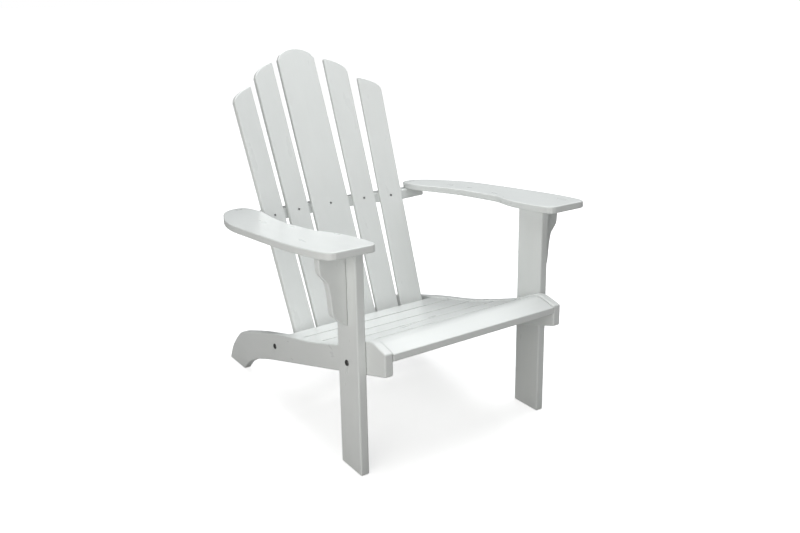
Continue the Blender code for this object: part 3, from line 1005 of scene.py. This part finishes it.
@dataclass
class Arms:
    """Armrests and the brackets under them."""

    hardware: Hardware
    edge: float = 0.0035
    bracket_edge: float = 0.003
    outer: Profile = (
        (0.3500, -0.4120), (0.3635, -0.4045), (0.3715, -0.3860), (0.3785, -0.3480),
        (0.3860, -0.2680), (0.3878, -0.1600), (0.3865, -0.0500), (0.3845, 0.0400),
        (0.3770, 0.1000), (0.3630, 0.1520), (0.3460, 0.1960), (0.3350, 0.2220),
        (0.3220, 0.2430), (0.3060, 0.2590), (0.2890, 0.2675), (0.2730, 0.2665),
        (0.2600, 0.2570), (0.2530, 0.2400))
    inner: Profile = (
        (0.2500, 0.2120), (0.2505, 0.1600), (0.2590, 0.1170), (0.2680, 0.0620),
        (0.2745, 0.0050), (0.2765, -0.0500), (0.2735, -0.1580), (0.2690, -0.1880),
        (0.2595, -0.2180), (0.2490, -0.2720), (0.2450, -0.3380), (0.2476, -0.3860),
        (0.2500, -0.3990), (0.2550, -0.4085), (0.2640, -0.4120))
    bracket_line: Profile = (
        (0.3490, 0.5100), (0.3475, 0.4990), (0.3440, 0.4917), (0.3365, 0.4825),
        (0.3300, 0.4730), (0.3265, 0.4584), (0.3240, 0.4437), (0.3205, 0.4040),
        (0.3165, 0.3900), (0.3080, 0.3820), (0.3000, 0.3740), (0.2853, 0.3650))
    bracket_top: float = 0.350
    bracket_front: float = -0.3305
    bracket_thick: float = 0.022
    bracket_foot: float = 0.0025

    def armrests(self, shop: Workshop) -> None:
        """Cut the two armrests."""
        outline = smooth_curve(self.outer) + smooth_curve(self.inner)
        for side in Side:
            points = [LINES.on_arm_plane(p) for p in mirrored(outline, side)]
            bores = [(SCREW_BORE, self.hardware.arm_screw_frame(side, i)) for i in (0, 1)]
            shop.board(f"{side.word}_armrest", points, points, LINES.arm_plane(),
                       LINES.arm_thick, (0.0, 1.0, 0.0), self.edge, bores)

    def brackets(self, shop: Workshop) -> None:
        """Cut the two arm brackets. Their tops follow the fall of the armrests."""
        inner = LINES.half_width + GAP
        curve = smooth_curve(self.bracket_line)
        place = plane_frame((0.0, self.bracket_front, 0.0), (1.0, 0.0, 0.0), (0.0, 0.0, 1.0))
        for side in Side:
            faces = []
            for y in (self.bracket_front, self.bracket_front + self.bracket_thick):
                top = LINES.arm_underside(y) - GAP
                outline = [(inner, top), (self.bracket_top, top), *curve,
                           (inner, curve[-1].y - self.bracket_foot)]
                faces.append(mirrored(outline, side))
            shop.board(f"{side.word}_arm_bracket", *faces, place, self.bracket_thick,
                       (0.0, 1.0, 0.0), self.bracket_edge)

    def build(self, shop: Workshop) -> None:
        """Make the arms."""
        self.armrests(shop)
        self.brackets(shop)


@dataclass
class Back:
    """The fan of back slats and the two cross rails that carry it."""

    hardware: Hardware
    edge: float = 0.003
    foot: float = 0.128
    flat_margin: float = 0.001
    upper_thick: float = 0.028
    upper_end: Profile = (
        (0.3060, 0.2285), (0.3145, 0.2322), (0.3180, 0.2405), (0.3145, 0.2520),
        (0.3020, 0.2600), (0.2830, 0.2645), (0.1900, 0.2800), (0.0950, 0.2920))
    upper_rear: float = 0.296
    lower_thick: float = 0.022
    lower_middle: float = 0.1507
    lower_ends: Pair = (0.086, 0.142)

    def slats(self, shop: Workshop) -> None:
        """Cut the five back slats."""
        for slat in SLATS:
            foot = slat.along_to(self.foot)
            half = slat.width / 2
            head = smooth_curve(slat.head)
            outline = [Vector((slat.side * -p.x, p.y)) for p in head]
            ends = (outline[-1].x, outline[0].x)
            outline += [Vector((x, foot)) for x in (math.copysign(half, ends[0]),
                                                    math.copysign(half, ends[1]))]
            bores = [(SCREW_BORE, self.hardware.slat_screw_frame(slat, low))
                     for low in (False, True)]
            shop.board(slat.name, outline, outline, slat.frame, LINES.slat_thick,
                       (0.0, 1.0, 0.0), self.edge, bores)

    def flats(self, normal: Vector, point: Vector) -> list[Vector]:
        """Corners of a cross rail's front edge, with a flat behind each back slat.

        Args:
            normal: normal of the face that is drawn.
            point: a point in that face.

        Returns:
            The corners in the chair, from the sitter's right to their left.
        """
        corners = []
        for slat in SLATS:
            frame = slat.frame
            across, front = frame.col[0].to_3d(), frame.col[2].to_3d()
            back = (front, frame.translation - front * (LINES.slat_thick + GAP))
            for end in (-1, 1):
                reach = end * (slat.width / 2 + self.flat_margin)
                limit = (across, frame.translation + across * reach)
                corners.append(where_planes_meet((normal, point), back, limit))
        return corners

    def upper_rail(self, shop: Workshop) -> None:
        """Cut the upper cross rail, which lies in the fall of the armrests."""
        half = smooth_curve(self.upper_end)
        edge = half + [Vector((0.0, self.upper_rear))] + mirrored(half[::-1], Side.RIGHT)
        depth = LINES.arm_thick + GAP * math.cos(LINES.arm_fall)
        place = LINES.arm_plane(depth)
        outlines = []
        for drop in (0.0, self.upper_thick):
            face = LINES.arm_plane(depth + drop)
            flats = self.flats(LINES.arm_normal, face.translation)
            outline = [(place.inverted() @ p).to_2d() for p in flats]
            outline += [LINES.on_arm_plane(p, depth) for p in edge]
            outlines.append(outline)
        shop.board("upper_back_rail", *outlines, place, self.upper_thick, (1.0, 0.0, 0.0),
                   self.edge)

    def lower_rail(self, shop: Workshop) -> None:
        """Cut the lower cross rail, which lies level between the side rails."""
        end = LINES.rail_inner - GAP
        top = self.lower_middle + self.lower_thick / 2
        ends = [Vector((end, self.lower_ends[0])), Vector((end, self.lower_ends[1]))]
        outlines = []
        for drop in (0.0, self.lower_thick):
            flats = self.flats(Vector((0.0, 0.0, 1.0)), Vector((0.0, 0.0, top - drop)))
            outlines.append([p.to_2d() for p in flats] + ends + mirrored(ends[::-1], Side.RIGHT))
        place = plane_frame((0.0, 0.0, top), (1.0, 0.0, 0.0), (0.0, 1.0, 0.0))
        shop.board("lower_back_rail", *outlines, place, self.lower_thick, (1.0, 0.0, 0.0),
                   self.edge)

    def build(self, shop: Workshop) -> None:
        """Make the back."""
        self.slats(shop)
        self.upper_rail(shop)
        self.lower_rail(shop)


@dataclass
class Seat:
    """Seat slats and the cleats under them."""

    edge: float = 0.0012
    nose_edge: float = 0.0022
    nose_round: float = 0.006
    nose_steps: int = 6
    cleat_edge: float = 0.002
    end_gap: float = 0.0008
    cleat_thick: float = 0.020
    cleat_height: float = 0.028
    cleat_ends: Pair = (0.066, -0.395)

    def across(self, x: float) -> Matrix:
        """Frame of a cross-section that is drawn in (y, z), with its Z towards +X."""
        return plane_frame((x, 0.0, 0.0), (0.0, 1.0, 0.0), (0.0, 0.0, 1.0))

    def slats(self, shop: Workshop) -> None:
        """Cut the four narrow slats and the shaped front one."""
        end = LINES.rail_inner - self.end_gap
        sections = []
        for index in range(LINES.narrow_slats):
            top = LINES.seat_chord(index)
            sections.append((f"seat_slat_{index + 1}", top, below(top, LINES.seat_thick)))
        top = LINES.front_slat_top()
        under = below(top, LINES.front_slat_thick)
        corner = Vector((top[-1].x, under[-1].y))
        under = [p for p in under if p.x > corner.x + self.nose_round] + self.nose(corner)
        sections.append(("front_seat_slat", top, under))
        for name, top, under in sections:
            outline = top + under[::-1]
            edge = self.nose_edge if name == "front_seat_slat" else self.edge
            shop.board(name, outline, outline, self.across(end), 2 * end, (0.0, 0.0, 1.0), edge)

    def nose(self, corner: Vector) -> list[Vector]:
        """Quarter round in (y, z) that takes the place of the front slat's lower front corner."""
        middle = corner + Vector((self.nose_round, self.nose_round))
        arc = []
        for step in range(self.nose_steps + 1):
            turn = math.pi / 2 * step / self.nose_steps
            arc.append(middle - Vector((math.sin(turn), math.cos(turn))) * self.nose_round)
        return arc

    def cleat_line(self) -> list[Vector]:
        """Line in (y, z) that carries the undersides of the slats, from rear to front."""
        line: list[Vector] = []
        for index in range(LINES.narrow_slats):
            line += below(LINES.seat_chord(index), LINES.seat_thick + GAP)
        line += below(LINES.front_slat_top(), LINES.front_slat_thick + GAP)
        rear, front = self.cleat_ends
        inside = [p for p in line if front + self.edge < p.x < rear - self.edge]
        return [Vector((rear, height_on(line, rear))), *inside,
                Vector((front, height_on(line, front)))]

    def cleats(self, shop: Workshop) -> None:
        """Cut the two cleats."""
        top = self.cleat_line()
        outline = top + [p - Vector((0.0, self.cleat_height)) for p in reversed(top)]
        outer = LINES.rail_inner - GAP
        for side in Side:
            face = outer if side is Side.LEFT else self.cleat_thick - outer
            shop.board(f"{side.word}_seat_cleat", outline, outline, self.across(face),
                       self.cleat_thick, (1.0, 0.0, 0.0), self.cleat_edge)

    def build(self, shop: Workshop) -> None:
        """Make the seat."""
        self.slats(shop)
        self.cleats(shop)


# ---- studio -------------------------------------------------------------------------------
@dataclass
class Studio:
    """Pale floor, soft lights and the camera."""

    camera_place: tuple[float, float, float] = (-1.1958, -1.9421, 1.1286)
    yaw: float = math.radians(-35.4384)
    pitch: float = math.radians(90.0 - 15.9617)
    roll: float = math.radians(-0.3148)
    lens: float = 39.834
    shift: Pair = (-0.04046, -0.05379)
    floor_size: float = 60.0
    glow_reach: Pair = (1.0, 2.6)
    aim_point: tuple[float, float, float] = (0.0, 0.0, 0.4)
    floor_colour: tuple[float, float, float] = (0.86, 0.86, 0.86)

    def camera(self) -> None:
        """Set the camera up."""
        data = bpy.data.cameras.new("camera")
        data.lens = self.lens
        data.sensor_width = 36.0
        data.shift_x, data.shift_y = self.shift
        camera = bpy.data.objects.new("camera", data)
        bpy.context.scene.collection.objects.link(camera)
        camera.matrix_world = (Matrix.Translation(self.camera_place)
                               @ Matrix.Rotation(self.yaw, 4, "Z")
                               @ Matrix.Rotation(self.pitch, 4, "X")
                               @ Matrix.Rotation(self.roll, 4, "Z"))
        bpy.context.scene.camera = camera

    def floor(self) -> None:
        """Lay the floor."""
        half = self.floor_size / 2
        mesh = bpy.data.meshes.new("floor")
        mesh.from_pydata([(-half, -half, 0.0), (half, -half, 0.0), (half, half, 0.0),
                          (-half, half, 0.0)], [], [(0, 1, 2, 3)])
        floor = bpy.data.objects.new("floor", mesh)
        bpy.context.scene.collection.objects.link(floor)
        bench = NodeBench("floor_paper")
        tree = bench.tree
        lit = bench.node("ShaderNodeBsdfDiffuse")
        lit.inputs["Color"].default_value = (*self.floor_colour, 1.0)
        glow = bench.node("ShaderNodeEmission")
        glow.inputs["Color"].default_value = (1.0, 1.0, 1.0, 1.0)
        dim = bench.node("ShaderNodeBsdfDiffuse")
        dim.inputs["Color"].default_value = (0.48, 0.48, 0.475, 1.0)
        bright = bench.node("ShaderNodeAddShader")
        spot = bench.node("ShaderNodeTexCoord")
        reach = bench.node("ShaderNodeVectorMath", operation="LENGTH")
        bench.link(spot.outputs["Object"], reach.inputs[0])
        bench.link(bench.spread(reach.outputs["Value"], 0.62, 1.0, self.glow_reach),
                   glow.inputs["Strength"])
        bench.link(lit.outputs["BSDF"], bright.inputs[0])
        bench.link(glow.outputs["Emission"], bright.inputs[1])
        choose = bench.node("ShaderNodeMixShader")
        path = bench.node("ShaderNodeLightPath")
        bench.link(path.outputs["Is Camera Ray"], choose.inputs["Fac"])
        bench.link(dim.outputs["BSDF"], choose.inputs[1])
        bench.link(bright.outputs["Shader"], choose.inputs[2])
        tree.nodes.remove(bench.shader)
        output = next(n for n in tree.nodes if n.type == "OUTPUT_MATERIAL")
        bench.link(choose.outputs["Shader"], output.inputs["Surface"])
        mesh.materials.append(bench.material)

    def lights(self) -> None:
        """Hang the soft lights."""
        cool = (0.975, 0.992, 1.0)
        warm = (1.0, 0.985, 0.96)
        for name, place, size, power, tint in (
                ("overhead", (0.5, 0.2, 3.0), 3.0, 94.0, cool),
                ("front_right", (-2.1, -2.1, 1.3), 2.0, 27.0, warm),
                ("right", (-2.4, -0.6, 1.0), 1.4, 11.0, warm),
                ("left", (3.0, 0.0, 1.2), 2.0, 3.0, warm)):
            data = bpy.data.lights.new(name, "AREA")
            data.shape = "SQUARE"
            data.size = size
            data.energy = power
            data.color = tint
            light = bpy.data.objects.new(name, data)
            bpy.context.scene.collection.objects.link(light)
            light.matrix_world = aim(place, Vector(place) - Vector(self.aim_point))
            light.visible_camera = False

    def surroundings(self) -> None:
        """Fill the room with an even pale light."""
        world = bpy.data.worlds.new("studio")
        bpy.context.scene.world = world
        world.use_nodes = True
        tree = world.node_tree
        tree.nodes.clear()
        ambient = tree.nodes.new("ShaderNodeBackground")
        ambient.inputs["Color"].default_value = (0.97, 0.985, 1.0, 1.0)
        ambient.inputs["Strength"].default_value = 0.12
        white = tree.nodes.new("ShaderNodeBackground")
        white.inputs["Color"].default_value = (1.0, 1.0, 1.0, 1.0)
        path = tree.nodes.new("ShaderNodeLightPath")
        choose = tree.nodes.new("ShaderNodeMixShader")
        output = tree.nodes.new("ShaderNodeOutputWorld")
        tree.links.new(path.outputs["Is Camera Ray"], choose.inputs["Fac"])
        tree.links.new(ambient.outputs["Background"], choose.inputs[1])
        tree.links.new(white.outputs["Background"], choose.inputs[2])
        tree.links.new(choose.outputs["Shader"], output.inputs["Surface"])
        bpy.context.scene.view_settings.view_transform = "Standard"

    def build(self) -> None:
        """Set up the studio."""
        self.camera()
        self.floor()
        self.lights()
        self.surroundings()


def main() -> None:
    """Build the looks around the frame."""
    logging.basicConfig(level=logging.INFO, format="%(message)s")
    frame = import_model()
    Studio().build()
    shop = Workshop({
        Finish.PAINT: OutdoorPaint().make(),
        Finish.BLACK: Steel("black_steel", (0.040, 0.040, 0.042), (0.025, 0.025, 0.027),
                            (0.40, 0.52)).make(),
        # The bolts' black steel painted lighter: a painted sheen in place of the light their heads
        # catch.
        Finish.BURNISHED: Steel("burnished_steel", (0.150, 0.150, 0.147), (0.085, 0.085, 0.085),
                                (0.34, 0.46)).make(),
        Finish.ZINC: Steel("zinc_plated_steel", (0.46, 0.46, 0.47), (0.36, 0.36, 0.37),
                           (0.28, 0.40)).make(),
        Finish.BIRCH: BareBirch().make()})
    hardware = Hardware()
    Frame(hardware).build(shop)
    Arms(hardware).build(shop)
    Back(hardware).build(shop)
    Seat().build(shop)
    hardware.build(shop)
    hardware.dress_hidden(shop, frame["nodes"])
    LOG.info("%d pieces made", len(shop.made))


if __name__ == "__main__":
    main()
